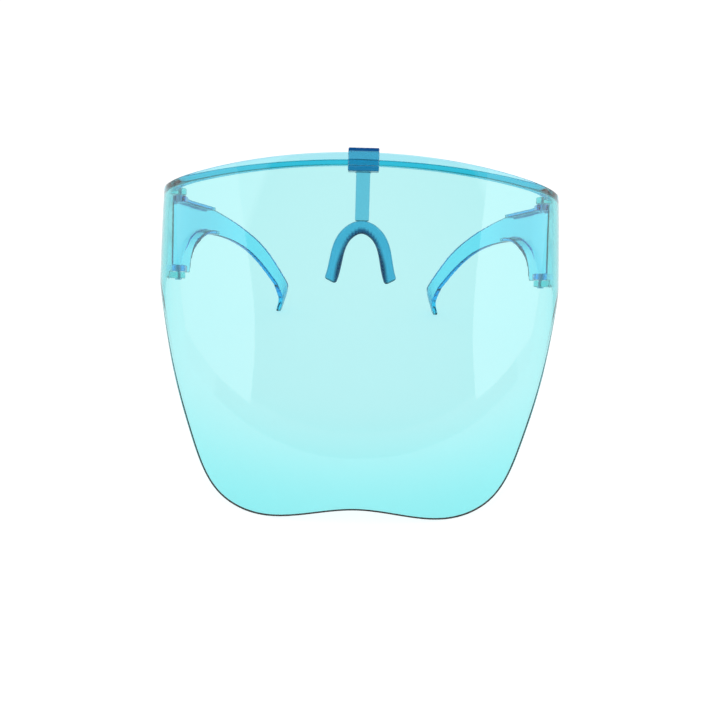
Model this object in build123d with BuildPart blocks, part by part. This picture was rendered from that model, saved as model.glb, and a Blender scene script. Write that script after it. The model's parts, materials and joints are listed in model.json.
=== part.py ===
from build123d import *

import os
from math import asin, cos, degrees, radians, sin, sqrt

# A clear full-face shield that is worn like a pair of glasses.
#
# It is drawn as it is worn: X across the face, Y back towards the ears and Z up, with the middle of the
# visor's lower edge near the origin. At the end every piece is leant back together, so that the finished
# shield stands on the visor's lower edge and on the tips of its folding temples. All sizes are in mm.

# ---------------------------------------------------------------- driving dimensions

# Visor: one moulded sheet that wraps round the face and bows from forehead to chin
visor_height = 143.0  # notch of the lower edge to the top of the brow
visor_half_width = 86.6  # to the outer face of the side wall
wall = 2.2
front_radius = 120.0  # across the face, seen from above
corner_radius = 38.0  # where the front turns into the side
side_length = 6.0  # straight side wall behind that turn, at mid-height
bow_radius = 300.0  # from forehead to chin, seen from the side
corner_drop = 10.8  # the brow falls this much from its middle to the hinges
edge_below_lug = 0.6  # side wall that is left under the lower lug
edge_sight_depth = 110.0  # the lower edge is cut square to a point this far behind the front

# Jaw line and lower edge: turn of the wall in degrees, and height
cheek = (48.1, 54.0)
jaw = (35.0, 28.0)
chin = (28.6, 5.0)
lobe = (19.5, -3.6)  # the lowest part of the lower edge, each side of the notch

# Brow rib: a ledge inside the visor that stiffens its upper edge
rib_depth = 4.4
rib_height = 1.9
crescent = 3.3  # visor standing above the rib in the middle

# Hinges: two lugs on each side of the visor, two ears on each temple and two pins through them
lug_thickness = 2.8
lug_radius = 3.3
hinge_set_in = 2.2  # hinge axis in front of the visor's rear edge
hinge_height = 39.4  # top of the upper lug to the underside of the lower lug
gap = 0.3  # between parts that pass each other
pin_radius = 0.9
pin_fit = 0.05  # round a pin, where a temple turns on it
pin_head_radius = 1.7
pin_head = 0.6

# Temples
temple_length = 126.0  # visor's rear edge to the back of the tip
temple_wall = 2.3
temple_drop = 46.6  # upper edge to the middle of the rounded tip
tip_radius = 2.7
tip_flare = 0.33  # how far the tip leans outwards for each millimetre down
flare_height = 12.0  # the part of the tip that leans, above the middle of its round
flange_depth = 4.6
flange_height = 1.7
top_flange_reach = 0.30  # share of the temple's length
foot_length = 11.0  # lower end of the hinge panel, front to back
arch_rise = 19.6  # from that end to where the arch runs out into the arm

# Nose piece: a clip over the brow, a stem and a soft pad
clip_width = 12.3
clip_wall = 1.3
clip_fit = 0.25
clip_jaw = 2.2
stem_width = 5.6
stem_thickness = 2.0
stem_seat = 0.5  # stem below the crown point, where the pad begins
pad_foot_spread = 25.0  # between the middles of the two feet
pad_height = 27.0
pad_face = 5.4  # width of the strip that lies on the nose
pad_thickness = 3.0
pad_rake = 8.0  # the feet stand further back than the crown
pad_set_back = 21.0  # crown of the pad behind the middle of the visor
pad_drop = 25.8  # crown of the pad below the top of the brow

# ---------------------------------------------------------------- worked out from them

bow_z = visor_height / 2
turn_front = degrees(asin((visor_half_width - corner_radius) / (front_radius - corner_radius)))
corner_x = visor_half_width - corner_radius
corner_y = front_radius - (front_radius - corner_radius) * cos(radians(turn_front))

lug_top = visor_height - corner_drop
ear_top = lug_top - lug_thickness - gap
lug_bottom = lug_top - hinge_height
ear_bottom = lug_bottom + lug_thickness + gap


def bowed(x, y, z):
    """Carry a point of the mid-height plan along the bow, up or down to the height z."""
    reach = bow_radius - y
    return Vector(x, bow_radius - sqrt(reach**2 - (z - bow_z) ** 2), z)


def on_wall(turn, z):
    """A point on the visor's outer face, where the wall has turned so many degrees from the front."""
    if turn < turn_front:
        return bowed(front_radius * sin(radians(turn)), front_radius * (1 - cos(radians(turn))), z)
    x = corner_x + corner_radius * sin(radians(turn))
    return bowed(x, corner_y - corner_radius * cos(radians(turn)), z)


rear_y = bowed(visor_half_width, corner_y + side_length, (lug_top + lug_bottom) / 2).Y
hinge_x = visor_half_width - wall - gap - lug_radius
hinge_y = rear_y - hinge_set_in

# ---------------------------------------------------------------- visor wall

spare = 12.0  # raw wall beyond the edges, which is cut off
swing = degrees(asin((visor_height / 2 + spare) / (bow_radius - corner_y - side_length - spare)))
swing_dir = Vector(0, -sin(radians(swing)), cos(radians(swing)))
bow_plane = Plane((0, bow_radius, bow_z), x_dir=(1, 0, 0), z_dir=swing_dir)
bow_axis = Axis((0, bow_radius, bow_z), (-1, 0, 0))


def plan_line(depth):
    """The visor's U seen from above, at a depth under its outer face, drawn about the bow's axis."""
    turn_rest = 90 - turn_front
    centre_y = corner_y - bow_radius
    rear = centre_y + side_length + spare
    edge_x = visor_half_width - depth
    CenterArc((0, front_radius - bow_radius), front_radius - depth, 270 - turn_front, 2 * turn_front)
    CenterArc((corner_x, centre_y), corner_radius - depth, -turn_rest, turn_rest)
    CenterArc((-corner_x, centre_y), corner_radius - depth, 180, turn_rest)
    Line((edge_x, centre_y), (edge_x, rear))
    Line((-edge_x, centre_y), (-edge_x, rear))
    return rear


def bowed_band(outer, inner):
    """A raw wall between two depths, swung about the bow's axis from the chin to the brow."""
    with BuildSketch(bow_plane) as band:
        with BuildLine():
            rear = plan_line(outer)
            plan_line(inner)
            for side in (-1, 1):
                Line((side * (visor_half_width - outer), rear), (side * (visor_half_width - inner), rear))
        make_face()
    revolve(band.sketch, axis=bow_axis, revolution_arc=2 * swing)


def brow_arch(middle, end_x, end_z):
    """An arch across the front view, symmetric, through a middle height and an end point."""
    return ThreePointArc((-end_x, end_z), (0, middle), (end_x, end_z))


with BuildPart() as wall_blank:
    bowed_band(0, wall)
    # the brow arch above and the upright rear edge behind
    with BuildSketch(Plane.XZ.offset(spare)):
        with BuildLine():
            arch_end = visor_half_width + spare
            brow_radius = (visor_half_width**2 + corner_drop**2) / (2 * corner_drop)
            arch_z = visor_height - brow_radius + sqrt(brow_radius**2 - arch_end**2)
            brow = brow_arch(visor_height, arch_end, arch_z)
            Polyline(brow @ 0, (-arch_end, -spare), (arch_end, -spare), brow @ 1)
        make_face()
    extrude(amount=-(rear_y + spare), mode=Mode.INTERSECT)


def jaw_outline(depth):
    """The jaw line and lower edge, drawn together towards the sight point, at a depth behind the front."""
    scale = (edge_sight_depth - depth) / edge_sight_depth

    def sighted(point):
        reach = edge_sight_depth / (edge_sight_depth - point.Y) * scale
        return Vector(point.X * reach, bow_z + (point.Z - bow_z) * reach)

    hinge_end = sighted(Vector(visor_half_width, rear_y, lug_bottom - edge_below_lug))
    along_wall = [sighted(on_wall(*point)) for point in (cheek, jaw, chin, lobe)]
    notch = sighted(on_wall(0, 0))
    right = [hinge_end, *along_wall]
    left = [Vector(-p.X, p.Y) for p in reversed(right)]
    top = 2.5 * visor_height * scale
    with BuildSketch() as outline:
        with BuildLine():
            Spline(*right, notch, *left)
            Polyline(left[-1], (left[-1].X, top), (right[0].X, top), right[0])
        make_face()
    return outline.sketch


with BuildPart() as jaw_cut:
    for depth in (-spare, rear_y + spare / 2):
        with BuildSketch(Plane.XZ.offset(-depth)):
            add(jaw_outline(depth))
    loft(ruled=True)

# ---------------------------------------------------------------- brow rib and hinge lugs

with BuildPart() as brow_rib:
    bowed_band(wall / 2, wall + rib_depth)
    with BuildSketch(Plane.XZ.offset(spare)):
        with BuildLine():
            rib_end = visor_half_width + spare
            upper = brow_arch(visor_height - crescent, visor_half_width, lug_top)
            lower = brow_arch(visor_height - crescent - rib_height, visor_half_width, lug_top - lug_thickness)
            Line(upper @ 0, lower @ 0)
            Line(upper @ 1, lower @ 1)
        make_face()
    extrude(amount=-(hinge_y - lug_radius + spare), mode=Mode.INTERSECT)


def lug_shape(side):
    """A lug seen from above: a round about the pin, joined to the inside of the side wall."""
    with BuildSketch() as lug:
        with Locations((side * hinge_x, hinge_y)):
            Circle(lug_radius)
        with BuildLine():
            root_x = side * (visor_half_width - wall / 2)
            Polyline(
                (side * hinge_x, hinge_y + lug_radius),
                (root_x, rear_y),
                (root_x, hinge_y - 2 * lug_radius),
                (side * (hinge_x - lug_radius * 0.7), hinge_y - lug_radius * 0.7),
                close=True,
            )
        make_face()
    return lug.sketch


with BuildPart() as hinge_lugs:
    for level in (lug_top - lug_thickness, lug_bottom):
        with BuildSketch(Plane.XY.offset(level)):
            add([lug_shape(side) for side in (-1, 1)])
        extrude(amount=lug_thickness)

with BuildPart() as visor:
    add(wall_blank.part)
    add(jaw_cut.part, mode=Mode.INTERSECT)
    add(brow_rib.part)
    add(hinge_lugs.part)
    for side in (-1, 1):
        with Locations((side * hinge_x, hinge_y, lug_top)):
            Cylinder(pin_radius, 2 * hinge_height, mode=Mode.SUBTRACT)

# ---------------------------------------------------------------- temples

# the temple seen from the side: share of its length behind the rear edge, share of its drop
upper_edge = ((0.34, 0.018), (0.58, 0.15), (0.78, 0.40), (0.92, 0.68))
lower_edge = ((0.50, 0.31), (0.65, 0.42), (0.82, 0.70), (0.93, 0.90))
# and seen from above: share of its length, and how far its outer face has come in
inward = ((0.0, 0.0), (0.22, 7.9), (0.46, 17.9), (0.68, 30.7), (0.86, 41.9), (0.95, 46.2), (1.02, 47.0))

tip_y = rear_y + temple_length - tip_radius
tip_z = ear_top - temple_drop
front_y = rear_y + gap
arch_foot = Vector(front_y + foot_length, ear_bottom)
arch_end = Vector(rear_y + 0.34 * temple_length, ear_bottom + arch_rise)


def along_temple(share, drop):
    return Vector(rear_y + share * temple_length, ear_top - drop * temple_drop)


def arch_line():
    """The arch under the hinge panel, up over the ear's front and out along the arm."""
    rise = arch_end - arch_foot
    knee = arch_foot + Vector(0.12 * rise.X, 0.50 * rise.Y)
    shoulder = arch_foot + Vector(0.46 * rise.X, 0.86 * rise.Y)
    return Spline(arch_foot, knee, shoulder, arch_end, tangents=((0.1, 1), (1, 0.02)))


def temple_band(outer_depth, inner_depth):
    """The temple seen from above, between two depths under its outer face."""
    face = [Vector(visor_half_width - inset, rear_y + share * temple_length) for share, inset in inward]
    outer = [point - Vector(outer_depth, 0) for point in face]
    inner = [point - Vector(inner_depth, 0) for point in face]
    with BuildSketch() as band:
        with BuildLine():
            Spline(*outer)
            Spline(*inner)
            Line(outer[0], inner[0])
            Line(outer[-1], inner[-1])
        make_face()
    return band.sketch


def temple_profile():
    """The temple seen from the side, from the hinge panel to the rounded tip behind the ear."""
    tip = Vector(tip_y, tip_z)
    upper = [along_temple(*point) for point in upper_edge]
    lower = [along_temple(*point) for point in lower_edge]
    corner = Vector(front_y, ear_top)
    with BuildSketch() as profile:
        with BuildLine():
            Line((front_y, ear_bottom), corner)
            Spline(corner, *upper, tip + Vector(tip_radius, 0), tangents=((1, 0), (0, -1)))
            Line((front_y, ear_bottom), arch_foot)
            arch_line()
            Spline(arch_end, *lower, tip - Vector(tip_radius, 0), tangents=((1, 0.02), (0.2, -1)))
            side = Vector(tip_radius, 0)
            ThreePointArc(tip + side, tip - Vector(0, tip_radius), tip - side)
        make_face()
    return profile.sketch


with BuildPart() as temple_flanges:
    with BuildSketch(Plane.XY.offset(ear_bottom)):
        add(temple_band(temple_wall / 2, temple_wall + flange_depth))
    extrude(amount=ear_top - ear_bottom)
    with BuildSketch(Plane.YZ):
        with BuildLine():
            arch = arch_line()
            steps = [step / 5 for step in range(6)]
            lip = Spline(*[arch @ t + Vector(-(arch % t).Y, (arch % t).X) * flange_height for t in steps])
            Line(arch @ 0, lip @ 0)
            Line(arch @ 1, lip @ 1)
        make_face()
        with BuildLine():
            under = Vector(0, flange_height)
            start = Vector(front_y, ear_top) - under / 4
            end = along_temple(top_flange_reach, 0.014) - under / 4
            Polyline(start, start - under, end - under, end, close=True)
        make_face()
    extrude(amount=visor_half_width, mode=Mode.INTERSECT)


def ear_shape():
    """An ear seen from above: a round about the pin, joined to the front of the hinge panel."""
    with BuildSketch() as ear:
        with Locations((hinge_x, hinge_y)):
            Circle(lug_radius)
        with BuildLine():
            outer_x = visor_half_width - temple_wall / 2
            Polyline(
                (hinge_x + lug_radius, hinge_y),
                (hinge_x + lug_radius, front_y),
                (outer_x, front_y),
                (outer_x - pin_head, front_y + lug_radius),
                (hinge_x - lug_radius, front_y + lug_radius),
                (hinge_x - lug_radius, hinge_y),
                close=True,
            )
        make_face()
    return ear.sketch


with BuildPart() as left_temple:
    flare_z = tip_z + flare_height
    with BuildSketch(Plane.XY.offset(flare_z)) as from_above:
        add(temple_band(0, temple_wall))
    extrude(amount=ear_top - flare_z)
    extrude(from_above.sketch, amount=flare_height + 2 * tip_radius, dir=(tip_flare, 0, -1))
    with BuildSketch(Plane.YZ):
        add(temple_profile())
    extrude(amount=visor_half_width + spare, mode=Mode.INTERSECT)
    for flange in temple_flanges.solids():
        add(flange)
    for level in (ear_top - lug_thickness, ear_bottom):
        with BuildSketch(Plane.XY.offset(level)):
            add(ear_shape())
        extrude(amount=lug_thickness)
    with Locations((hinge_x, hinge_y, ear_top)):
        Cylinder(pin_radius + pin_fit, 3 * hinge_height, mode=Mode.SUBTRACT)

with BuildPart() as right_temple:
    mirror(left_temple.part, about=Plane.YZ)

# ---------------------------------------------------------------- hinge pins


def hinge_pin(side, head_z, up):
    """A headed pin through one lug and one ear, put in from outside."""
    length = 2 * lug_thickness + gap
    with BuildPart() as pin:
        with BuildSketch(Plane((side * hinge_x, hinge_y, head_z), z_dir=(0, 0, -up))):
            Circle(pin_radius)
        extrude(amount=length)
        with BuildSketch(Plane((side * hinge_x, hinge_y, head_z), z_dir=(0, 0, up))):
            Circle(pin_head_radius)
        extrude(amount=pin_head)
        outside = faces().sort_by(Axis.Z)[-1 if up > 0 else 0]
        fillet(outside.edges(), pin_head * 0.6)
    return pin


left_upper_pin = hinge_pin(1, lug_top, 1)
left_lower_pin = hinge_pin(1, lug_bottom, -1)
right_upper_pin = hinge_pin(-1, lug_top, 1)
right_lower_pin = hinge_pin(-1, lug_bottom, -1)

# ---------------------------------------------------------------- nose piece


def arc_band(near, far, low, high):
    """A strip of the side view that follows the bow, between two radii and two heights."""
    lines = []
    for radius in (near, far):
        ends = [Vector(bow_radius - sqrt(radius**2 - (z - bow_z) ** 2), z) for z in (low, high)]
        mid_z = (low + high) / 2
        middle = Vector(bow_radius - sqrt(radius**2 - (mid_z - bow_z) ** 2), mid_z)
        lines.append((ends[0], middle, ends[1]))
    with BuildSketch() as strip:
        with BuildLine():
            for line in lines:
                ThreePointArc(*line)
            Line(lines[0][0], lines[1][0])
            Line(lines[0][2], lines[1][2])
        make_face()
    return strip.sketch


clip_front = bow_radius + clip_fit
rib_back = bow_radius - wall - rib_depth - clip_fit
clip_top = visor_height + clip_fit
rib_bottom = visor_height - crescent - rib_height - clip_fit
jaw_bottom = rib_bottom - clip_jaw

stem_y = bowed(0, wall + rib_depth + clip_fit, jaw_bottom).Y + clip_wall / 2
stem_top = Vector(stem_y, jaw_bottom + clip_jaw / 2)
crown = Vector(pad_set_back, visor_height - pad_drop)

with BuildPart() as nose_bar:
    with BuildSketch(Plane.YZ):
        add(arc_band(clip_front, clip_front + clip_wall, rib_bottom - clip_fit, clip_top + clip_wall))
        add(arc_band(rib_back - clip_wall, clip_front + clip_wall, clip_top, clip_top + clip_wall))
        add(arc_band(rib_back - clip_wall, rib_back, jaw_bottom, clip_top + clip_wall))
        add(arc_band(rib_back - clip_wall, bow_radius - wall - clip_fit, jaw_bottom, rib_bottom))
    extrude(amount=clip_width / 2, both=True)
    with BuildSketch(Plane.YZ):
        with BuildLine():
            fall = (crown - stem_top).normalized()
            across = Vector(-fall.Y, fall.X) * (stem_thickness / 2)
            stem_end = crown + fall * stem_seat
            Polyline(stem_top + across, stem_end + across, stem_end - across, stem_top - across, close=True)
        make_face()
    extrude(amount=stem_width / 2, both=True)

# ---------------------------------------------------------------- nose pad

fall_dir = Vector(0, fall.X, fall.Y)
pad_top = Vector(0, crown.X, crown.Y) + fall_dir * (stem_seat + pad_face / 2)
spread = pad_foot_spread / 2
pad_line = (
    pad_top + Vector(-spread, pad_rake, -pad_height + pad_face),
    pad_top + Vector(-spread * 0.80, pad_rake * 0.45, -pad_height * 0.45),
    pad_top + Vector(-spread * 0.50, pad_rake * 0.10, -pad_height * 0.12),
    pad_top,
    pad_top + Vector(spread * 0.50, pad_rake * 0.10, -pad_height * 0.12),
    pad_top + Vector(spread * 0.80, pad_rake * 0.45, -pad_height * 0.45),
    pad_top + Vector(spread, pad_rake, -pad_height + pad_face),
)

with BuildPart() as nose_pad:
    with BuildLine():
        saddle = Spline(*pad_line)
    with BuildSketch(Plane(saddle @ 0, x_dir=(0, 1, 0), z_dir=saddle % 0)):
        RectangleRounded(pad_thickness, pad_face, pad_thickness * 0.4)
    sweep(path=saddle)
    feet = faces().filter_by(GeomType.PLANE).sort_by(Axis.Z)[0:2]
    fillet(feet.edges(), pad_thickness * 0.35)

# ---------------------------------------------------------------- stance

pieces = {
    "visor": visor,
    "left_temple": left_temple,
    "right_temple": right_temple,
    "left_upper_pin": left_upper_pin,
    "left_lower_pin": left_lower_pin,
    "right_upper_pin": right_upper_pin,
    "right_lower_pin": right_lower_pin,
    "nose_bar": nose_bar,
    "nose_pad": nose_pad,
}


def lowest(part, lean):
    """Height of a leant part's lowest edge point, before it is set down."""
    points = [edge @ (step / 40) for edge in part.edges() for step in range(41)]
    return min(p.Z * cos(lean) - p.Y * sin(lean) for p in points)


# The lean that lets the visor and the temple tips touch one flat surface, found by halving
upright, flat = radians(10), radians(50)
while flat - upright > 1e-6:
    lean = (upright + flat) / 2
    if lowest(left_temple.part, lean) > lowest(visor.part, lean):
        upright = lean
    else:
        flat = lean

leant = Location((0, 0, 0), (-degrees(lean), 0, 0))
box = Compound([piece.part for piece in pieces.values()]).moved(leant).bounding_box()
stance = Location((0, -(box.min.Y + box.max.Y) / 2, -box.min.Z), (-degrees(lean), 0, 0))

os.makedirs("parts", exist_ok=True)
for name, piece in pieces.items():
    piece.part.label = name
    piece.part.move(stance)
    export_step(piece.part, f"parts/{name}.step")
print("lean", round(degrees(lean), 3), "shift", stance.position)
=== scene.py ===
# %% [markdown]
# # A clear face shield that is worn like glasses
# The shield is a bowed sheet of clear blue plastic with two folding temples, a clip that carries a nose pad,
# and four small hinge pins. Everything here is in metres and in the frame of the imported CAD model. The
# finished pieces sit at the origin, with their place in their meshes.

# %% Load the fixed frame
import json
import math

import bmesh
import bpy
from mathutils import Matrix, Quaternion, Vector
from mathutils.bvhtree import BVHTree


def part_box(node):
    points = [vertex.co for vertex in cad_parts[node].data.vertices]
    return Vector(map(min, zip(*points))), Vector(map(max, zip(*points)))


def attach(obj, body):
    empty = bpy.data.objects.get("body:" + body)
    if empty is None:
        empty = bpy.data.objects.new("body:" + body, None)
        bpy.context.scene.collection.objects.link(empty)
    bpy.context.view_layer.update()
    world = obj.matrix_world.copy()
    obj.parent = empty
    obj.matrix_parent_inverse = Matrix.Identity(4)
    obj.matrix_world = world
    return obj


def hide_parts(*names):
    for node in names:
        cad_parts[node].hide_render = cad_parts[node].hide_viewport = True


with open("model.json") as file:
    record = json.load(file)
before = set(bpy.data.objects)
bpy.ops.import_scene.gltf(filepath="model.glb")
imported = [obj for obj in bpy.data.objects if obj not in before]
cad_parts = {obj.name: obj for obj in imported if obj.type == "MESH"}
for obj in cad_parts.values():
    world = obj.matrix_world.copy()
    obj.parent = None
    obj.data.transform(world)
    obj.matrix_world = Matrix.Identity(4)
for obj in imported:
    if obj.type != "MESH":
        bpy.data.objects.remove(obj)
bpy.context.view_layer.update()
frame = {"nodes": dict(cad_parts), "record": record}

# %% [markdown]
# ## Sums that work on numbers and on sockets
# A node tree that does arithmetic is hard to read as a list of Math nodes. One small class wraps a socket
# and turns Python's operators into nodes, so that the rule for the visor's shape can be written once and
# used twice: on plain numbers here, and inside Geometry Nodes or a material.

# %% A socket that adds and multiplies like a number


class Sum:
    """A socket of a node tree, in sums that read like sums of numbers."""

    def __init__(self, tree, socket):
        self.tree = tree
        self.socket = socket

    def node(self, kind, values=(), output=0, **settings):
        """Add a node of a kind: its settings first, then the values or links of its sockets."""
        node = self.tree.nodes.new(kind)
        for name, value in settings.items():
            setattr(node, name, value)
        pairs = values.items() if isinstance(values, dict) else enumerate(values)
        for key, value in pairs:
            if isinstance(value, Sum):
                self.tree.links.new(value.socket, node.inputs[key])
            elif value is not None:
                node.inputs[key].default_value = value
        return Sum(self.tree, node.outputs[output]) if node.outputs else None

    def math(self, operation, *values):
        return self.node("ShaderNodeMath", values, operation=operation)

    def __add__(self, other):
        return self.math("ADD", self, other)

    def __sub__(self, other):
        return self.math("SUBTRACT", self, other)

    def __rsub__(self, other):
        return self.math("SUBTRACT", other, self)

    def __mul__(self, other):
        return self.math("MULTIPLY", self, other)

    def __truediv__(self, other):
        return self.math("DIVIDE", self, other)

    def __rtruediv__(self, other):
        return self.math("DIVIDE", other, self)

    __radd__ = __add__
    __rmul__ = __mul__


print("Sum turns + - * and / into Math nodes")

# %% Functions for numbers and sockets alike


def apply(operation, plain, *values):
    """Work a function out on numbers, or add its Math node where one of the values is a socket."""
    sockets = [value for value in values if isinstance(value, Sum)]
    return sockets[0].math(operation, *values) if sockets else plain(*values)


def sine(angle):
    return apply("SINE", math.sin, angle)


def cosine(angle):
    return apply("COSINE", math.cos, angle)


def arcsine(value):
    return apply("ARCSINE", math.asin, value)


def root(value):
    return apply("SQRT", math.sqrt, value)


def size_of(value):
    return apply("ABSOLUTE", abs, value)


def sign(value):
    return apply("SIGN", lambda v: (v > 0) - (v < 0), value)


def least(one, other):
    return apply("MINIMUM", min, one, other)


def most(one, other):
    return apply("MAXIMUM", max, one, other)


print("sine of a right angle:", sine(math.pi / 2))

# %% [markdown]
# ## How the shield stands
# The visor is easiest to describe as it is worn: X across the face, Y back and Z up. Its wall is flat at
# first, and a rule wraps it round the face and bows it from forehead to chin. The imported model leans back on
# its temples, so a worn point is then turned about X and moved. Both numbers come from the joint that folds
# the left temple, because its axis is upright when the shield is worn.

# %% Driving sizes, as worn
HALF_WIDTH = 0.0866  # to the outer face of the side wall
FRONT_RADIUS = 0.120
CORNER_RADIUS = 0.038
SIDE_LENGTH = 0.006  # straight wall behind each corner
BOW_RADIUS = 0.300
VISOR_HEIGHT = 0.143
CORNER_DROP = 0.0108  # from the middle of the brow to the hinges
WALL = 0.0022
CRESCENT = 0.0033  # brow that stands above the rib
RIB_DEPTH = 0.0044
RIB_HEIGHT = 0.0019
HINGE_HEIGHT = 0.0394
HINGE_SET_IN = 0.0022  # hinge axis in front of the visor's rear edge
LUG_THICKNESS = 0.0028
LUG_RADIUS = 0.0033
GAP = 0.0003
LUG_TOP = VISOR_HEIGHT - CORNER_DROP
HINGE_MID = LUG_TOP - HINGE_HEIGHT / 2
print("visor", round(HALF_WIDTH * 2000, 1), "mm wide, hinge middle", round(HINGE_MID * 1000, 1), "mm up")

# %% The rule that shapes the wall


def wrapped(along, depth, half_width, front_radius, corner_radius):
    """The visor seen from above: a distance along its outer face and a depth under it, as X and Y."""
    front_turn = arcsine((half_width - corner_radius) / (front_radius - corner_radius))
    front_length = front_turn * front_radius
    corner_length = (math.pi / 2 - front_turn) * corner_radius
    distance = size_of(along)
    beyond_front = most(distance - front_length, 0.0)
    in_corner = least(beyond_front, corner_length)
    on_side = most(beyond_front - corner_length, 0.0)
    front = least(distance, front_length) / front_radius
    turn = front + in_corner / corner_radius
    across = front_radius * sine(front) + corner_radius * (sine(turn) - sine(front)) - depth * sine(turn)
    back = front_radius * (1 - cosine(front)) + corner_radius * (cosine(front) - cosine(turn))
    return sign(along) * across, back + on_side + depth * cosine(turn)


def bowed(back, height, bow_radius, bow_height):
    """The bow from forehead to chin carries a point back as it goes up or down."""
    reach = bow_radius - back
    rise = height - bow_height
    return bow_radius - root(reach * reach - rise * rise)


def leant(back, height, angle, shift_back, shift_up):
    """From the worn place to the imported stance."""
    turned_back = back * cosine(angle) + height * sine(angle)
    turned_up = height * cosine(angle) - back * sine(angle)
    return turned_back + shift_back, turned_up + shift_up


FRONT_TURN = math.asin((HALF_WIDTH - CORNER_RADIUS) / (FRONT_RADIUS - CORNER_RADIUS))
SIDE_START = FRONT_TURN * FRONT_RADIUS + (math.pi / 2 - FRONT_TURN) * CORNER_RADIUS
CORNER_BACK = wrapped(SIDE_START, 0.0, HALF_WIDTH, FRONT_RADIUS, CORNER_RADIUS)[1]
REAR_EDGE = bowed(CORNER_BACK + SIDE_LENGTH, HINGE_MID, BOW_RADIUS, VISOR_HEIGHT / 2)
print("straight sides start", round(SIDE_START * 1000, 1), "mm along; rear edge",
      round(REAR_EDGE * 1000, 1), "mm back")

# %% The stance, from the left hinge
joints = {joint["name"]: joint for joint in frame["record"]["behaviour"]["joints"]}
hinge = joints["left_temple_fold"]
LEAN = math.atan2(hinge["axis"][1], hinge["axis"][2])
HINGE_BACK = REAR_EDGE - HINGE_SET_IN
turned = leant(HINGE_BACK, HINGE_MID, LEAN, 0.0, 0.0)
SHIFT_BACK = hinge["pos_m"][1] - turned[0]
SHIFT_UP = hinge["pos_m"][2] - turned[1]


def stand(x, back, height):
    """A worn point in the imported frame."""
    return Vector((x, *leant(back, height, LEAN, SHIFT_BACK, SHIFT_UP)))


def on_visor(along, depth, height):
    """A point of the visor's wall, at a distance along it, a depth under its outer face and a height."""
    x, back = wrapped(along, depth, HALF_WIDTH, FRONT_RADIUS, CORNER_RADIUS)
    return stand(x, bowed(back, height, BOW_RADIUS, VISOR_HEIGHT / 2), height)


print("lean", round(math.degrees(LEAN), 2), "degrees; brow at", on_visor(0.0, 0.0, VISOR_HEIGHT))

# %% [markdown]
# ## Camera, table and light
# Clear plastic shows what is around it, so the surroundings are part of its look. The shield stands on a
# pale table in a bright tent. A dark opening in the front of the tent is what its flat middle reflects, and
# two bright panels beside that opening make the paler zones on either side.

# %% Camera
CAMERA_PLACE = (-0.0045, -0.4781, 0.2779)
CAMERA_LOOKS_DOWN = 28.179  # degrees, as are the next two
CAMERA_HEADING = -0.699
CAMERA_ROLL = 1.68
CAMERA_LENS = 57.6  # millimetres, on a sensor 36 mm wide
NEAREST_SEEN = 0.01

camera_data = bpy.data.cameras.new("camera")
camera_data.lens = CAMERA_LENS
camera_data.clip_start = NEAREST_SEEN
camera = bpy.data.objects.new("camera", camera_data)
camera.location = CAMERA_PLACE
camera.rotation_mode = "QUATERNION"
heading = Quaternion((0, 0, 1), math.radians(CAMERA_HEADING))
tilt = Quaternion((1, 0, 0), math.radians(90 - CAMERA_LOOKS_DOWN))
roll = Quaternion((0, 0, 1), math.radians(CAMERA_ROLL))
camera.rotation_quaternion = heading @ tilt @ roll
bpy.context.collection.objects.link(camera)
bpy.context.scene.camera = camera
bpy.context.scene.view_settings.view_transform = "Standard"
print("camera", CAMERA_PLACE)

# %% Helpers for meshes and materials
COLOUR_ONE, COLOUR_TWO, COLOUR_OUT = 6, 7, 2  # the Mix node's own sockets for colours


def mesh_object(name, points, faces, smooth=True):
    """A mesh object at the origin, linked into the scene."""
    mesh = bpy.data.meshes.new(name)
    mesh.from_pydata([tuple(point) for point in points], [], faces)
    mesh.polygons.foreach_set("use_smooth", [smooth] * len(mesh.polygons))
    mesh.update()
    thing = bpy.data.objects.new(name, mesh)
    bpy.context.collection.objects.link(thing)
    return thing


def new_material(name):
    """An empty node material, and its tree as a Sum that adds nodes."""
    material = bpy.data.materials.new(name)
    material.use_nodes = True
    material.node_tree.nodes.clear()
    return material, Sum(material.node_tree, None)


def finish_material(maker, surface, volume=None):
    maker.node("ShaderNodeOutputMaterial", {"Surface": surface, "Volume": volume})


def noise(maker, place, scale, detail, roughness=0.5):
    values = {"Vector": place, "Scale": scale, "Detail": detail, "Roughness": roughness}
    return maker.node("ShaderNodeTexNoise", values)


def mix(maker, factor, one, other):
    """The first colour where the factor is 0, and the second where it is 1."""
    values = {"Factor": factor, COLOUR_ONE: one, COLOUR_TWO: other}
    return maker.node("ShaderNodeMix", values, output=COLOUR_OUT, data_type="RGBA")


print("helpers ready for", bpy.app.version_string)

# %% Table
TABLE_HALF = 6.0
TABLE_GLOW = 0.80  # the table's own light keeps the shadows under clear plastic faint
TABLE_GREY = (0.45, 0.45, 0.45, 1)
TABLE_PALER_GREY = (0.47, 0.47, 0.47, 1)
TABLE_WEAVE = 90.0


def table_material():
    material, maker = new_material("pale_table")
    place = maker.node("ShaderNodeTexCoord", output="Object")
    grey = mix(maker, noise(maker, place, TABLE_WEAVE, detail=3.0), TABLE_GREY, TABLE_PALER_GREY)
    paper = maker.node("ShaderNodeBsdfDiffuse", {"Color": grey})
    glow = maker.node("ShaderNodeEmission", {"Color": (1, 1, 1, 1), "Strength": TABLE_GLOW})
    finish_material(maker, maker.node("ShaderNodeAddShader", (paper, glow)))
    return material


corner_signs = ((-1, -1), (1, -1), (1, 1), (-1, 1))
table = mesh_object("table", [(x * TABLE_HALF, y * TABLE_HALF, 0) for x, y in corner_signs], [(0, 1, 2, 3)])
table.data.materials.append(table_material())
print("table", 2 * TABLE_HALF, "m square")

# %% Tent
TENT_LIGHT = 0.60  # darker than the table, so that edges which bend light sideways look deep

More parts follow.
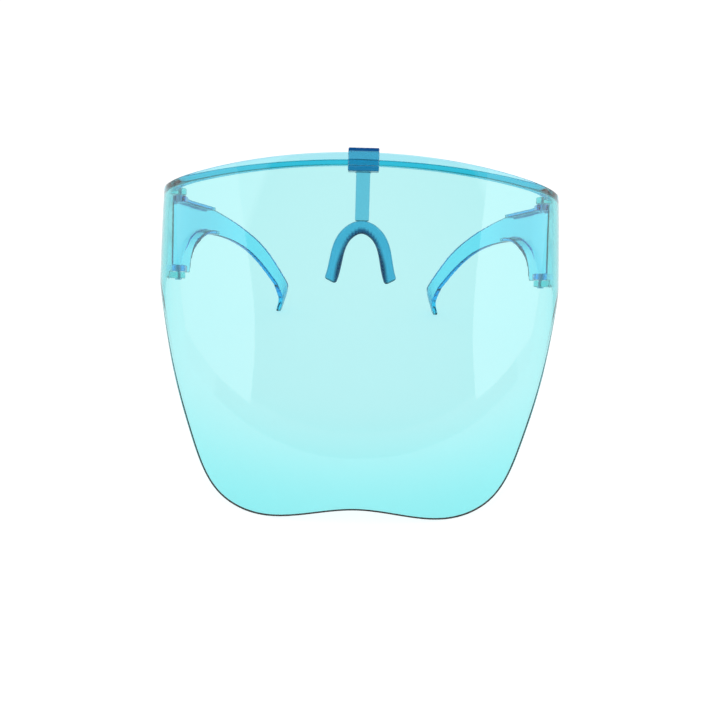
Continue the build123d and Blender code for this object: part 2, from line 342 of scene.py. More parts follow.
world = bpy.data.worlds.new("tent")
bpy.context.scene.world = world
world.use_nodes = True
world.node_tree.nodes.clear()
sky = Sum(world.node_tree, None)
seen_directly = sky.node("ShaderNodeLightPath", output="Is Camera Ray")
brightness = TENT_LIGHT + seen_directly * (1.0 - TENT_LIGHT)
sky.node("ShaderNodeOutputWorld", (sky.node("ShaderNodeBackground", ((1, 1, 1, 1), brightness)),))
print("tent light", TENT_LIGHT)

# %% Panels that only reflections show
PANEL_STEPS = 16
SHADOWED_GREY = (0.34, 0.34, 0.32)
LAMP_WHITE = (1, 1, 1)
COOL_WHITE = (0.90, 0.98, 1.0)


def dome_points(azimuths, elevations, lean_out, distance):
    """Rows of points on a dome. Azimuth 0 is straight in front, and the near edge leans out as it rises."""
    points = []
    for row in range(PANEL_STEPS + 1):
        share = row / PANEL_STEPS
        elevation = math.radians(elevations[0] + (elevations[1] - elevations[0]) * share)
        near = azimuths[0] + lean_out * share**3
        flat = distance * math.cos(elevation)
        for column in range(PANEL_STEPS + 1):
            azimuth = math.radians(near + (azimuths[1] - near) * column / PANEL_STEPS)
            across, front = flat * math.sin(azimuth), flat * math.cos(azimuth)
            points.append((across, -front, distance * math.sin(elevation)))
    return points


def dome_panel(name, azimuths, elevations, lean_out, distance, colour, strength):
    """A curved panel, with angles in degrees, that glossy rays alone can see."""
    wide = PANEL_STEPS + 1
    faces = [(r * wide + c, r * wide + c + 1, (r + 1) * wide + c + 1, (r + 1) * wide + c)
             for r in range(PANEL_STEPS) for c in range(PANEL_STEPS)]
    panel = mesh_object(name, dome_points(azimuths, elevations, lean_out, distance), faces)
    material, maker = new_material(name)
    finish_material(maker, maker.node("ShaderNodeEmission", {"Color": (*colour, 1), "Strength": strength}))
    panel.data.materials.append(material)
    panel.visible_camera = False
    panel.visible_diffuse = False
    panel.visible_transmission = False
    panel.visible_shadow = False
    panel.visible_volume_scatter = False
    print(name, "between", azimuths, "degrees round and", elevations, "degrees up")


dome_panel("tent_opening", (-60, 70), (6, 88), lean_out=0, distance=2.0, colour=SHADOWED_GREY, strength=0.4)
dome_panel("left_panel", (-45, -125), (5, 50), lean_out=-73, distance=1.9, colour=LAMP_WHITE, strength=1.7)
dome_panel("right_panel", (51, 125), (5, 50), lean_out=62, distance=1.9, colour=LAMP_WHITE, strength=1.9)
dome_panel("left_wall", (-62, -180), (-20, 88), lean_out=0, distance=2.2, colour=COOL_WHITE, strength=1.15)
dome_panel("right_wall", (72, 180), (-20, 88), lean_out=0, distance=2.2, colour=COOL_WHITE, strength=1.15)

# %% Overhead lamp
LAMP_PLACE = (0.1, 0.2, 1.4)
LAMP_SIZE = 0.9
LAMP_WATTS = 1.0

lamp_data = bpy.data.lights.new("overhead_lamp", "AREA")
lamp_data.size = LAMP_SIZE
lamp_data.energy = LAMP_WATTS
lamp = bpy.data.objects.new("overhead_lamp", lamp_data)
lamp.location = LAMP_PLACE
lamp.rotation_euler = (-Vector(LAMP_PLACE)).to_track_quat("-Z", "Y").to_euler()
lamp.visible_glossy = False
bpy.context.collection.objects.link(lamp)
print("lamp", LAMP_WATTS, "W at", LAMP_PLACE)

# %% [markdown]
# ## Clear blue plastic
# Tinted polycarbonate takes its colour from light that is absorbed on its way through. So the colour is
# mostly a Volume Absorption inside a refracting shell: a wall seen face on is pale, and a long way through
# an edge is deep blue. Faint moulding ripples bend the normal, wiping marks and dust vary the roughness, and
# a Light Path switch lets lamps shine through, as they do through thin clear plastic.
#
# Light that is trapped in a moulding and comes out at its edges is slow to find with few bounces. Painted
# light and shade on the base colour stand for it and for the visor's blue shade on the table: a painted blue
# shade near the table, painted light in the rib, painted shade on the inner side of the pad, and a painted
# rim, light on the visor and shade on the other parts, where a rounded edge is seen at a glancing angle, which
# a Layer Weight node picks out.

# %% Values of the recipe
RIPPLE_SCALE, MARK_SCALE = 55.0, 38.0
PLASTIC_GRAIN, SILICONE_GRAIN = 900.0, 1400.0
WIPED_FROM, WIPED_TO = 0.45, 0.75  # of the mark noise
SPECK_FROM, SPECK_TO = 0.66, 0.78  # of the dust noise
WIPED_ROUGHNESS, SPECK_ROUGHNESS = 0.02, 0.10
WIPED_TINT, SPECK_TINT = 0.06, 0.5
CLEAN, DUSTY = (1.0, 1.0, 1.0, 1), (0.93, 0.96, 0.97, 1)
DUST_RELIEF = 0.01
BUMP_DISTANCE = 0.0004
RIM_FULL = 0.9  # glancing share where the painted rim colour is full
REFRACTION = 1.52
DENSITY_MARGIN = 1.02  # keeps the strongest absorbed colour just above black
ATTRIBUTE_VALUE = 2  # the Attribute node's plain number
PAINTED_SHADE_TOP = 0.052  # metres above the table where the painted blue shade on the visor begins
# painted: the blue shade that lies near the table, seen through the visor's foot
FOOT_PAINTED_SHADE = (0.62, 0.98, 0.99)
# painted light that leaves the rib
RIB_PAINTED_LIGHT = (0.06, 0.60, 1.0)
# painted shade on the temples' and pad's rims, and on the pad's inner side
NAVY_PAINTED_SHADE = (0.004, 0.05, 0.14)
# painted light on the visor's rims
TEAL_PAINTED_RIM_LIGHT = (0.55, 0.92, 1.0)
# painted shade on the nose bar's rims
SLATE_PAINTED_RIM_SHADE = (0.16, 0.22, 0.32)
print("dust grain", PLASTIC_GRAIN, "on plastic and", SILICONE_GRAIN, "on silicone")

# %% Painted light and shade on the base colour


def ramp(maker, value, start, full, **settings):
    """A share that is 0 at the start value and 1 at the full one."""
    return maker.node("ShaderNodeMapRange", {"Value": value, "From Min": start, "From Max": full}, **settings)


def marked(maker, colour, attribute, painted_colour):
    """Lay painted light and shade over a colour where the mesh says so in an attribute."""
    share = maker.node("ShaderNodeAttribute", output=ATTRIBUTE_VALUE, attribute_name=attribute)
    return mix(maker, share, colour, (*painted_colour, 1))


def painted_light_and_shade(maker, place, colour, rim, rim_start, painted_foot_shade):
    """Painted light and shade: where painted_foot_shade is given, blue shade near the table and light in the
    rib; then shade on the inner side, and the painted rim.
    """
    if painted_foot_shade:
        # painted blue shade near the table, and painted light in the rib
        height = maker.node("ShaderNodeSeparateXYZ", (place,), output="Z")
        shade_near_table = ramp(maker, height, PAINTED_SHADE_TOP, 0.0, interpolation_type="SMOOTHSTEP")
        colour = mix(maker, shade_near_table, colour, (*painted_foot_shade, 1))
        colour = marked(maker, colour, "rib", RIB_PAINTED_LIGHT)
    # painted shade on the pad's inner side, where its mesh marks it
    colour = marked(maker, colour, "inner_side", rim)
    # painted rim: light on the visor and shade on the other parts, where a rounded edge is seen at a glancing
    # angle
    glancing = maker.node("ShaderNodeLayerWeight", {"Blend": 0.5}, output="Facing")
    return mix(maker, ramp(maker, glancing, rim_start, RIM_FULL), colour, (*rim, 1))


print("tints: foot, rib, inner side and rim")

# %% Absorption inside the shell


def absorbing_body(maker, colour_left, thickness):
    """A volume that leaves so much of red, green and blue after a thickness."""
    losses = [-math.log(share) / thickness for share in colour_left]
    density = max(losses) * DENSITY_MARGIN
    kept = tuple(1 - loss / density for loss in losses)
    return maker.node("ShaderNodeVolumeAbsorption", {"Color": (*kept, 1), "Density": density})


def lit_through(maker, shell, colour_left):
    """Let lamp rays pass straight through, with half of the thickness's colour on each face."""
    through = tuple(math.sqrt(share) for share in colour_left)
    open_shell = maker.node("ShaderNodeBsdfTransparent", {"Color": (*through, 1)})
    lamp_ray = maker.node("ShaderNodeLightPath", output="Is Shadow Ray")
    return maker.node("ShaderNodeMixShader", (lamp_ray, shell, open_shell))


print("a wall that halves the red absorbs", round(math.log(2) / WALL), "per metre")

# %% The whole recipe


def clear_plastic(name, colour_left, thickness, ripple, haze, rim, rim_start, grain=PLASTIC_GRAIN, painted_foot_shade=None):
    """Plastic that leaves so much of red, green and blue after a thickness in metres.

    The rim colour is painted: what a glancing look through a rounded edge keeps, light on the visor and shade
    on the other parts; painted_foot_shade is a painted blue shade near the table.
    """
    material, maker = new_material(name)
    place = maker.node("ShaderNodeTexCoord", output="Object")
    ripples = noise(maker, place, RIPPLE_SCALE, detail=2.0, roughness=0.45)
    marks = noise(maker, place, MARK_SCALE, detail=6.0, roughness=0.62)
    wiped = ramp(maker, marks, WIPED_FROM, WIPED_TO)
    dust = noise(maker, place, grain, detail=3.0, roughness=0.6)
    specks = ramp(maker, dust, SPECK_FROM, SPECK_TO)
    worn = mix(maker, specks * SPECK_TINT + wiped * WIPED_TINT, CLEAN, DUSTY)
    relief = {"Strength": ripple, "Distance": BUMP_DISTANCE, "Height": ripples + dust * DUST_RELIEF}
    shell = maker.node(
        "ShaderNodeBsdfPrincipled",
        {
            "Base Color": painted_light_and_shade(maker, place, worn, rim, rim_start, painted_foot_shade),
            "Roughness": haze + wiped * WIPED_ROUGHNESS + specks * SPECK_ROUGHNESS,
            "IOR": REFRACTION,
            "Transmission Weight": 1.0,
            "Normal": maker.node("ShaderNodeBump", relief),
        },
    )
    body = absorbing_body(maker, colour_left, thickness)
    finish_material(maker, lit_through(maker, shell, colour_left), body)
    print("mixed", name, "for", round(thickness * 1000, 1), "mm")
    return material


# the visor gets painted rim light and painted blue shade near the table; the other parts get painted rim shade
visor_plastic = clear_plastic(
    "clear_visor", (0.50, 0.875, 0.885), thickness=WALL, ripple=0.06, haze=0.004, rim=TEAL_PAINTED_RIM_LIGHT,
    rim_start=0.45, painted_foot_shade=FOOT_PAINTED_SHADE,
)
temple_plastic = clear_plastic(
    "clear_temple", (0.28, 0.84, 0.985), thickness=0.0023, ripple=0.10, haze=0.012, rim=NAVY_PAINTED_SHADE,
    rim_start=0.5,
)
bar_plastic = clear_plastic(
    "clear_bar", (0.22, 0.59, 0.76), thickness=0.0020, ripple=0.10, haze=0.012, rim=SLATE_PAINTED_RIM_SHADE,
    rim_start=0.25,
)
pad_silicone = clear_plastic(
    "soft_silicone", (0.09, 0.48, 0.72), thickness=0.0030, ripple=0.25, haze=0.03, rim=NAVY_PAINTED_SHADE,
    rim_start=0.1, grain=SILICONE_GRAIN,
)

# %% [markdown]
# ## The visor's lower edge
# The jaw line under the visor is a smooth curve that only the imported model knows. It could be drawn again,
# but then the two could drift apart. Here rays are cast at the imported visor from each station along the
# wall, and the edge is found by halving the gap between a height with wall and a height without it.

# %% Stations along the wall
STATIONS = 360
LAST = 0.9985  # the share that the outermost measured station has, just inside the rear edge
END_POWER = 12  # how strongly the last stations follow the upright rear edge


def reach_at(height):
    """How far the wall runs along its outer face, to the upright rear edge, at a worn height."""
    plan_back = BOW_RADIUS - math.hypot(BOW_RADIUS - REAR_EDGE, height - VISOR_HEIGHT / 2)
    return SIDE_START + plan_back - CORNER_BACK


def along_at(share, height):
    """The distance along the wall of a station, which is a share of the way from the middle to an end."""
    middle_reach = reach_at(HINGE_MID)
    end_shift = (reach_at(height) - middle_reach) * abs(share) ** END_POWER
    return math.copysign(abs(share) * middle_reach + end_shift, share)


print("half the wall is", round(reach_at(HINGE_MID) * 1000, 1), "mm long at the hinges")

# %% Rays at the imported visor
EDGE_STEPS = 22
BELOW_JAW = -0.012  # a height that is under the whole jaw line
RAY_START_INSIDE = 2.5  # in walls, as are the next two
RAY_REACH = 1.3
RAY_MISS = 0.25

cad_visor = frame["nodes"]["visor"].data
cad_visor.calc_loop_triangles()
rays = BVHTree.FromPolygons(
    [vertex.co.copy() for vertex in cad_visor.vertices],
    [tuple(triangle.vertices) for triangle in cad_visor.loop_triangles],
)


def wall_is_there(share, height, inside):
    """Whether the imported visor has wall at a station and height, on its outer or its inner face."""
    along = along_at(share, height)
    near, far = (WALL * RAY_START_INSIDE, WALL) if inside else (-WALL, 0.0)
    start = on_visor(along, near, height)
    target = on_visor(along, far, height)
    hit = rays.ray_cast(start, (target - start).normalized(), (target - start).length * RAY_REACH)
    return hit[0] is not None and (hit[0] - target).length < WALL * RAY_MISS


def lower_edge(share, inside):
    """The height of the jaw line at a station, found by halving between a gap and the wall."""
    gap_height, wall_height = BELOW_JAW, HINGE_MID
    for _ in range(EDGE_STEPS):
        middle = (gap_height + wall_height) / 2
        if wall_is_there(share, middle, inside):
            wall_height = middle
        else:
            gap_height = middle
    return wall_height


edges = []
for station in range(STATIONS + 1):
    share = (2 * station / STATIONS - 1) * LAST
    outer_low = lower_edge(share, False)
    inner_low = min(lower_edge(share, True), outer_low + WALL)
    edges.append((share, outer_low, inner_low))
print("jaw heights, mm:", [round(edge[1] * 1000, 1) for edge in edges[:: STATIONS // 12]])

# %% [markdown]
# ## The visor as a flat blank that is formed
# A real visor is one moulding with a wall, a rounded rim and a rib inside the brow. It could be a solidified
# grid, but the rib and the rim would then be separate shapes. Here its section is drawn once for each station
# along the wall, as a closed loop of depth and height. The loops make a flat blank, and Geometry Nodes wrap
# and bow that blank with the rule above, as a heated sheet is formed over a block.

# %% Round corners and arched edges
RIM_ROUND = 0.0007
RIB_ROUND = 0.0005
ROUND_STEPS = 4
MOST_CUT = 0.49  # a rounded corner takes at most this share of the lines beside it


def rounded(before, corner, after, radius):
    """Points that round a corner of a section off, between the points before and after it."""
    to_before = Vector(before) - Vector(corner)
    to_after = Vector(after) - Vector(corner)
    cut = min(radius, to_before.length * MOST_CUT, to_after.length * MOST_CUT)
    start = Vector(corner) + to_before.normalized() * cut
    end = Vector(corner) + to_after.normalized() * cut
    points = []
    for step in range(ROUND_STEPS + 1):
        t = step / ROUND_STEPS
        points.append(start * (1 - t) ** 2 + Vector(corner) * (2 * t * (1 - t)) + end * t**2)
    return points


def arch(x, middle_height, end_height):
    """A circle's height over x, through a height in the middle and one at each hinge."""
    drop = middle_height - end_height
    radius = (HALF_WIDTH * HALF_WIDTH + drop * drop) / (2 * drop)
    return middle_height - radius + math.sqrt(radius * radius - x * x)


print("brow height halfway out:", round(arch(HALF_WIDTH / 2, VISOR_HEIGHT, LUG_TOP) * 1000, 1), "mm")

# %% One closed section
RIB_TAPER = 0.0012  # length over which the rib runs out in front of a lug
LEAST_RIB = 0.02  # share of its depth that the rib keeps behind that
SECTION_STEPS = (62, 1, 2, 3, 1, 3, 52, 1)  # from each corner to the next: the outer and inner face are long


def section(share, outer_low, inner_low):
    """The wall's closed section at a station, as points of depth and height."""
    nominal = along_at(share, HINGE_MID)
    outer_x, back = wrapped(nominal, 0.0, HALF_WIDTH, FRONT_RADIUS, CORNER_RADIUS)
    inner_x = wrapped(nominal, WALL, HALF_WIDTH, FRONT_RADIUS, CORNER_RADIUS)[0]
    deep_x = wrapped(nominal, WALL + RIB_DEPTH, HALF_WIDTH, FRONT_RADIUS, CORNER_RADIUS)[0]
    upper = (VISOR_HEIGHT - CRESCENT, LUG_TOP)
    lower = (VISOR_HEIGHT - CRESCENT - RIB_HEIGHT, LUG_TOP - LUG_THICKNESS)
    room = HINGE_BACK - LUG_RADIUS - bowed(back, LUG_TOP, BOW_RADIUS, VISOR_HEIGHT / 2)
    deep = WALL + RIB_DEPTH * min(max(room / RIB_TAPER, LEAST_RIB), 1.0)
    corners = [
        ((0.0, outer_low), RIM_ROUND),
        ((0.0, arch(outer_x, VISOR_HEIGHT, LUG_TOP)), RIM_ROUND),
        ((WALL, arch(inner_x, VISOR_HEIGHT, LUG_TOP)), RIM_ROUND),
        ((WALL, arch(inner_x, *upper)), RIB_ROUND),
        ((deep, arch(deep_x, *upper)), RIB_ROUND),
        ((deep, arch(deep_x, *lower)), RIB_ROUND),
        ((WALL, arch(inner_x, *lower)), RIB_ROUND),
        ((WALL, inner_low), RIM_ROUND),
    ]
    sides = len(corners)
    rounds = [
        rounded(corners[k - 1][0], corners[k][0], corners[(k + 1) % sides][0], corners[k][1])
        for k in range(sides)
    ]
    points = []
    for k, steps in enumerate(SECTION_STEPS):
        start, end = rounds[k][-1], rounds[(k + 1) % sides][0]
        points += rounds[k]
        points += [start.lerp(end, step / steps) for step in range(1, steps)]
    return points


print("a section has", len(section(*edges[STATIONS // 2])), "points")

# %% Rows of sections, with rounded rear edges
CAP_TURNS = (30, 60, 85)  # degrees round the rear edge, from the wall's face towards its end
DRAW_START = 0.96  # share from which drawing in is reckoned
DRAWN_FROM = 0.99  # and from which it is done, to leave room for the caps


def rear_cap(points, turn):
    """A section that is smaller all round, for a place further round the rear edge."""
    inset = RIM_ROUND * (1 - math.cos(turn))
    low, high = min(p.y for p in points), max(p.y for p in points)
    narrowed = []
    for point in points:
        depth = WALL / 2 + (point.x - WALL / 2) * (1 - inset / (WALL / 2))
        height = min(max(point.y, low + inset), high - inset)
        narrowed.append(Vector((depth, height)))
    return narrowed


def shift_at(share):
    """How far a station moves along the wall: the last few are drawn in by up to the rim's rounding."""
    if abs(share) <= DRAWN_FROM:
        return 0.0
    return -RIM_ROUND * ((abs(share) - DRAW_START) / (LAST - DRAW_START))


rows = [(edge[0], section(*edge), shift_at(edge[0])) for edge in edges]
for turn in CAP_TURNS:
    angle = math.radians(turn)
    shift = RIM_ROUND * (math.sin(angle) - 1)
    rows.insert(0, (edges[0][0], rear_cap(section(*edges[0]), angle), shift))
    rows.append((edges[-1][0], rear_cap(section(*edges[-1]), angle), shift))
print("rows:", len(rows))

# %% The blank, with the rib's painted light in an attribute
BROW_PAINTED_LIGHT_SHARE = 0.22  # of the rib's painted light, in the brow above the rib

blank_points = []
for share, points, shift in rows:
    for point in points:
        along = along_at(share, point.y)
        blank_points.append((math.copysign(abs(along) + shift, along), point.x, point.y))
count = len(rows[0][1])
blank_faces = []
for row in range(len(rows) - 1):
    here, there = row * count, (row + 1) * count
    for k in range(count):
        step = (k + 1) % count
        blank_faces.append((here + k, there + k, there + step, here + step))
blank_faces.append(tuple(range(count)))
blank_faces.append(tuple(len(rows) * count - 1 - k for k in range(count)))
blank = mesh_object("visor_blank", blank_points, blank_faces)


def painted_rib_light(along, depth, height):
    """How much painted light a point gets: full in the rib, and part of it in the brow above the rib."""
    x = wrapped(along, depth, HALF_WIDTH, FRONT_RADIUS, CORNER_RADIUS)[0]
    above_rib = height > arch(x, VISOR_HEIGHT - CRESCENT, LUG_TOP)
    return max(min((depth - WALL) / RIB_DEPTH * 2, 1.0), BROW_PAINTED_LIGHT_SHARE if above_rib else 0.0)


# the rib attribute carries painted light for the visor's material
rib_light_mark = blank.data.attributes.new("rib", "FLOAT", "POINT")
rib_light_mark.data.foreach_set("value", [painted_rib_light(*point) for point in blank_points])
print("blank:", len(blank_points), "points,", len(blank_faces), "faces")

# %% The tree that forms the blank


def group_input(tree, name, value):
    """A named number in a node group's panel; returns its identifier."""
    socket = tree.interface.new_socket(name=name, in_out="INPUT", socket_type="NodeSocketFloat")
    socket.default_value = value
    return socket.identifier


def forming_tree(sizes):
    """Wrap, bow and lean a flat blank: X is along, Y is the depth and Z is the worn height."""
    tree = bpy.data.node_groups.new("Form visor", "GeometryNodeTree")
    tree.interface.new_socket(name="Geometry", in_out="INPUT", socket_type="NodeSocketGeometry")
    tree.interface.new_socket(name="Geometry", in_out="OUTPUT", socket_type="NodeSocketGeometry")
    keys = {name: group_input(tree, name, value) for name, value in sizes.items()}
    material = tree.interface.new_socket(name="Material", in_out="INPUT", socket_type="NodeSocketMaterial")
    maker = Sum(tree, None)
    entry = tree.nodes.new("NodeGroupInput")
    size = {name: Sum(tree, entry.outputs[name]) for name in [*sizes, "Geometry", "Material"]}
    place = maker.node("GeometryNodeInputPosition")
    split = maker.node("ShaderNodeSeparateXYZ", (place,)).socket.node
    along, depth, height = (Sum(tree, output) for output in split.outputs)
    x, back = wrapped(along, depth, size["Half Width"], size["Front Radius"], size["Corner Radius"])
    back = bowed(back, height, size["Bow Radius"], size["Bow Height"])
    y, z = leant(back, height, size["Lean"], size["Shift Back"], size["Shift Up"])
    formed = maker.node("ShaderNodeCombineXYZ", (x, y, z))
    moved = maker.node("GeometryNodeSetPosition", {"Geometry": size["Geometry"], "Position": formed})
    whole = maker.node("GeometryNodeRealizeInstances", {"Geometry": moved})
    dressed = maker.node("GeometryNodeSetMaterial", {"Geometry": whole, "Material": size["Material"]})
    maker.node("NodeGroupOutput", {"Geometry": dressed})
    return tree, keys, material.identifier


form_sizes = {
    "Half Width": HALF_WIDTH, "Front Radius": FRONT_RADIUS, "Corner Radius": CORNER_RADIUS,
    "Bow Radius": BOW_RADIUS, "Bow Height": VISOR_HEIGHT / 2, "Lean": LEAN,
    "Shift Back": SHIFT_BACK, "Shift Up": SHIFT_UP,
}
tree, size_keys, material_key = forming_tree(form_sizes)
print("forming tree:", len(tree.nodes), "nodes")

# %% Form the visor's wall


def evaluated_copy(thing, name):
    """A plain mesh object of what a thing's modifiers make, in place of the thing."""
    graph = bpy.context.evaluated_depsgraph_get()
    mesh = bpy.data.meshes.new_from_object(thing.evaluated_get(graph), depsgraph=graph)
    bpy.data.objects.remove(thing)
    mesh.name = name
    made = bpy.data.objects.new(name, mesh)
    bpy.context.collection.objects.link(made)
    return made


forming = blank.modifiers.new("Form visor", "NODES")
forming.node_group = tree
for name, key in size_keys.items():
    forming[key] = form_sizes[name]
forming[material_key] = visor_plastic
visor_wall = evaluated_copy(blank, "visor_wall")
print("formed visor:", [round(size * 1000, 1) for size in visor_wall.dimensions], "mm")

# %% [markdown]
# ## Hinge lugs
# Each side wall has two flat lugs, one above the other, for the hinge pins. They are moulded with the wall.
# A lug is a rounded tongue, drawn from above and given its thickness. Its edges are softened and its hole cut
# before a Boolean joins it to the wall, so that light meets one continuous skin.

# %% Shapes drawn from above


def prism(name, outline, low, high):
    """A closed upright prism of an outline drawn from above in worn X and Y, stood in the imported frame."""
    points = [stand(x, back, height) for height in (low, high) for x, back in outline]
    size = len(outline)
    sides = [(k, (k + 1) % size, size + (k + 1) % size, size + k) for k in range(size)]
    faces = [tuple(range(size - 1, -1, -1)), tuple(range(size, 2 * size)), *sides]
    thing = mesh_object(name, points, faces, smooth=False)
    outward = bmesh.new()
    outward.from_mesh(thing.data)
    bmesh.ops.recalc_face_normals(outward, faces=outward.faces)
    outward.to_mesh(thing.data)
    outward.free()
    return thing


def arc(x, back, radius, start, end, steps):
    """Points round a centre, from one angle to another in degrees."""
    turns = [math.radians(start + (end - start) * step / steps) for step in range(steps + 1)]
    return [(x + radius * math.cos(turn), back + radius * math.sin(turn)) for turn in turns]


print("a quarter turn in two steps:", arc(0, 0, 1, 0, 90, 2))

# %% Joining and cutting


def join(things, name):
    """Several mesh objects as one."""
    joined = bmesh.new()
    for thing in things:
        joined.from_mesh(thing.data)
    mesh = bpy.data.meshes.new(name)
    joined.to_mesh(mesh)
    joined.free()
    for thing in things:
        bpy.data.objects.remove(thing)
    made = bpy.data.objects.new(name, mesh)
    bpy.context.collection.objects.link(made)
    return made


def boolean(thing, tool, operation):
    """Cut or join a thing with a tool, and remove the tool."""
    modifier = thing.modifiers.new(operation, "BOOLEAN")
    modifier.operation = operation
    modifier.object = tool
    modifier.solver = "MANIFOLD"
    made = evaluated_copy(thing, thing.name)
    bpy.data.objects.remove(tool)
    print(operation.lower(), "leaves", len(made.data.polygons), "faces")
    return made


print("join, boolean ready for", visor_wall.name)

# %% Lugs and their union with the wall
PIN_RADIUS = 0.0009
PIN_CLEARANCE = 0.00004
LUG_BEVEL = 0.0003
BEVEL_SEGMENTS = 3
TONGUE_TURN = (90, 225)  # degrees round the pin, from the back to the slope towards the wall
TONGUE_STEPS, BORE_STEPS = 28, 48
LUG_SHORT_OF_EDGE = 0.0004
HINGE_X = HALF_WIDTH - (WALL + GAP + LUG_RADIUS)


def lug_outline(side):
    root_x = HALF_WIDTH - WALL / 2
    tongue = arc(HINGE_X, HINGE_BACK, LUG_RADIUS, *TONGUE_TURN, TONGUE_STEPS)
    front_root = (root_x, HINGE_BACK - 2 * LUG_RADIUS)
    rear_root = (root_x, REAR_EDGE - LUG_SHORT_OF_EDGE)
    return [(side * x, back) for x, back in (*tongue, front_root, rear_root)]


lugs, bores = [], []
for side in (-1, 1):
    for number, low in enumerate((LUG_TOP - LUG_THICKNESS, LUG_TOP - HINGE_HEIGHT)):
        lug = prism(f"lug_{side}_{number}", lug_outline(side), low, low + LUG_THICKNESS)
        bevel = lug.modifiers.new("soft edges", "BEVEL")
        bevel.width = LUG_BEVEL
        bevel.segments = BEVEL_SEGMENTS
        lugs.append(evaluated_copy(lug, lug.name))
        hole = arc(HINGE_X, HINGE_BACK, PIN_RADIUS + PIN_CLEARANCE, 0, 360, BORE_STEPS)[:-1]
        outline = [(side * x, back) for x, back in hole]
        bores.append(prism(f"bore_{side}_{number}", outline, low - LUG_THICKNESS, low + 2 * LUG_THICKNESS))
lug_set = boolean(join(lugs, "lugs"), join(bores, "bores"), "DIFFERENCE")
visor = boolean(visor_wall, lug_set, "UNION")
visor.name = "clear_visor"

# %% Visor shading and its place in the frame
SHARP = math.radians(40)


def shade_by_angle(thing, angle):
    """Smooth shading, with edges sharper than an angle kept crisp."""
    thing.data.polygons.foreach_set("use_smooth", [True] * len(thing.data.polygons))
    shape = bmesh.new()
    shape.from_mesh(thing.data)
    for edge in shape.edges:
        edge.smooth = len(edge.link_faces) == 2 and edge.calc_face_angle(0.0) < angle
    shape.to_mesh(thing.data)
    shape.free()


def only_material(thing, material):
    thing.data.materials.clear()
    thing.data.materials.append(material)
    thing.data.polygons.foreach_set("material_index", [0] * len(thing.data.polygons))
    thing.data.update()


shade_by_angle(visor, SHARP)
only_material(visor, visor_plastic)
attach(visor, "shield")
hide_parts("visor")
print("visor:", len(visor.data.vertices), "points,", len(visor.data.polygons), "faces")

# %% [markdown]
# ## Temples, nose bar and nose pad
# These are small one-piece mouldings with a soft edge all round. They could be rebuilt by hand, but the
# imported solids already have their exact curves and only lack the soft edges. A copy of each is filled with
# even cells by a voxel remesh, and then smoothed a little, which rounds every edge by about a cell.

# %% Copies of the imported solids
MERGE_WITHIN = 1e-6


def merged_copy(node, name):
    """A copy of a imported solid, whose loose triangles are joined at their corners."""
    shape = bmesh.new()
    shape.from_mesh(frame["nodes"][node].data)
    bmesh.ops.remove_doubles(shape, verts=shape.verts, dist=MERGE_WITHIN)
    mesh = bpy.data.meshes.new(name)
    shape.to_mesh(mesh)
    shape.free()
    thing = bpy.data.objects.new(name, mesh)
    bpy.context.collection.objects.link(thing)
    return thing


print("points closer than", MERGE_WITHIN * 1000, "mm count as one")

# %% Softened edges
TEMPLE_CELL = 0.00042
SMALL_CELL = 0.00026
SMOOTHING = 0.5


def softened(node, name, cell, rounds, body, material):
    """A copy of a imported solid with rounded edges, in its final place."""
    thing = merged_copy(node, name)
    cells = thing.modifiers.new("cells", "REMESH")
    cells.mode = "VOXEL"
    cells.voxel_size = cell
    cells.use_smooth_shade = True
    soft = thing.modifiers.new("soft edges", "SMOOTH")
    soft.factor = SMOOTHING
    soft.iterations = rounds
    made = evaluated_copy(thing, name)
    only_material(made, material)
    made.data.polygons.foreach_set("use_smooth", [True] * len(made.data.polygons))
    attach(made, body)
    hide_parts(node)
    print(name, len(made.data.polygons), "faces")
    return made


softened("left_temple", "left_temple_soft", TEMPLE_CELL, 4, "left_arm", temple_plastic)
softened("right_temple", "right_temple_soft", TEMPLE_CELL, 4, "right_arm", temple_plastic)
softened("nose_bar", "nose_bar_soft", SMALL_CELL, 7, "shield", bar_plastic)
pad = softened("nose_pad", "nose_pad_soft", SMALL_CELL, 18, "shield", pad_silicone)

# %% [markdown]
# ## Painted shade on the inner side of the pad
# Light runs along a soft blue strip and comes out at its ends, so the side of the U that faces the nose is
# much darker than the rest, and that darkness is painted shade here. A shader can't tell that side from the
# outer one. So each point of the mesh is compared with the innermost point in the same direction from the U's
# heart, and the share that it is near to it is kept as an attribute, which the silicone reads to paint the
# shade.

# %% Mark the inner side for its painted shade
INNER_FULL_SHADE = 0.0014  # painted shade is full this far from the inner edge
INNER_FADE = 0.0012  # and fading over this much more
SECTORS = 72
HEART_SHARE = 0.2  # of the pad's height, where the heart of the U is
pad_low, pad_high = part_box("nose_pad")
heart_up = pad_low.z + (pad_high.z - pad_low.z) * HEART_SHARE


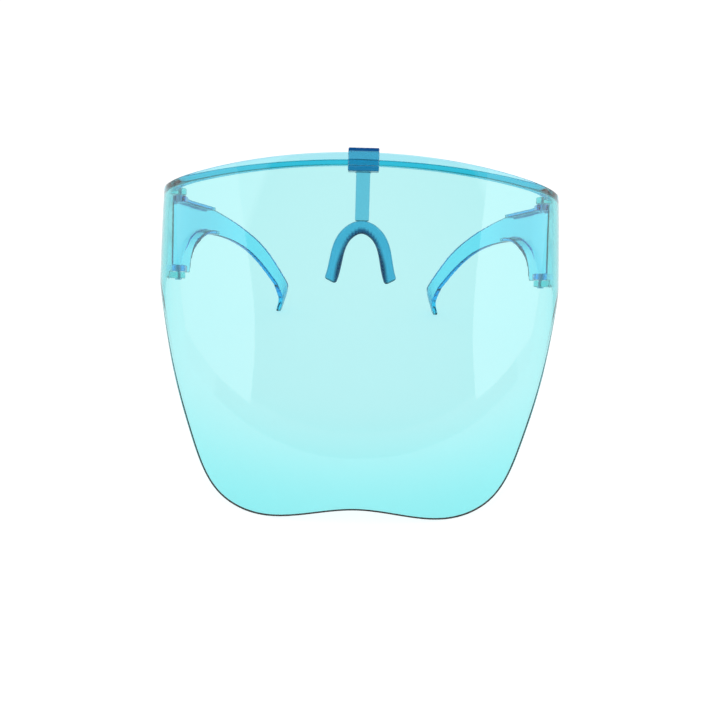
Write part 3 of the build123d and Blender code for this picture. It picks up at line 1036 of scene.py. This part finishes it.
def sector_and_radius(point):
    """Which sector round the U's heart a point is in, seen from the front, and how far out."""
    turn = math.atan2(point.z - heart_up, point.x) / math.tau
    return int(turn * SECTORS) % SECTORS, math.hypot(point.x, point.z - heart_up)


places = [sector_and_radius(vertex.co) for vertex in pad.data.vertices]
inner_edge = {}
for sector, radius in places:
    inner_edge[sector] = min(inner_edge.get(sector, radius), radius)
inner_shade_share = [
    min(max(1 - (radius - inner_edge[sector] - INNER_FULL_SHADE) / INNER_FADE, 0.0), 1.0)
    for sector, radius in places
]
# the attribute that paints shade on the pad's inner side
inner_side = pad.data.attributes.new("inner_side", "FLOAT", "POINT")
inner_side.data.foreach_set("value", inner_shade_share)
print("pad points on the inner side:", sum(share > 0 for share in inner_shade_share), "of", len(inner_shade_share))

# %% [markdown]
# ## Hinge pins
# The four pins are turned steel, pressed in from above and below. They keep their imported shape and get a
# bluish steel with a fine grain.

# %% Pin steel
PIN_GRAIN, PIN_BLOTCH = 2600.0, 500.0
DEEP_STEEL, PALE_STEEL = (0.20, 0.42, 0.55, 1), (0.34, 0.58, 0.70, 1)
PIN_ROUGHNESS, PIN_ROUGHNESS_SPREAD = 0.28, 0.14
PIN_RELIEF, PIN_RELIEF_DISTANCE = 0.25, 0.00005


def pin_steel():
    material, maker = new_material("pin_steel")
    place = maker.node("ShaderNodeTexCoord", output="Object")
    grain = noise(maker, place, PIN_GRAIN, detail=4.0)
    relief = {"Strength": PIN_RELIEF, "Distance": PIN_RELIEF_DISTANCE, "Height": grain}
    shell = maker.node(
        "ShaderNodeBsdfPrincipled",
        {
            "Base Color": mix(maker, noise(maker, place, PIN_BLOTCH, detail=2.0), DEEP_STEEL, PALE_STEEL),
            "Metallic": 1.0,
            "Roughness": PIN_ROUGHNESS + grain * PIN_ROUGHNESS_SPREAD,
            "Normal": maker.node("ShaderNodeBump", relief),
        },
    )
    finish_material(maker, shell)
    return material


steel = pin_steel()
for node in ("left_upper_pin", "left_lower_pin", "right_upper_pin", "right_lower_pin"):
    only_material(frame["nodes"][node], steel)
    print(node, "dressed")
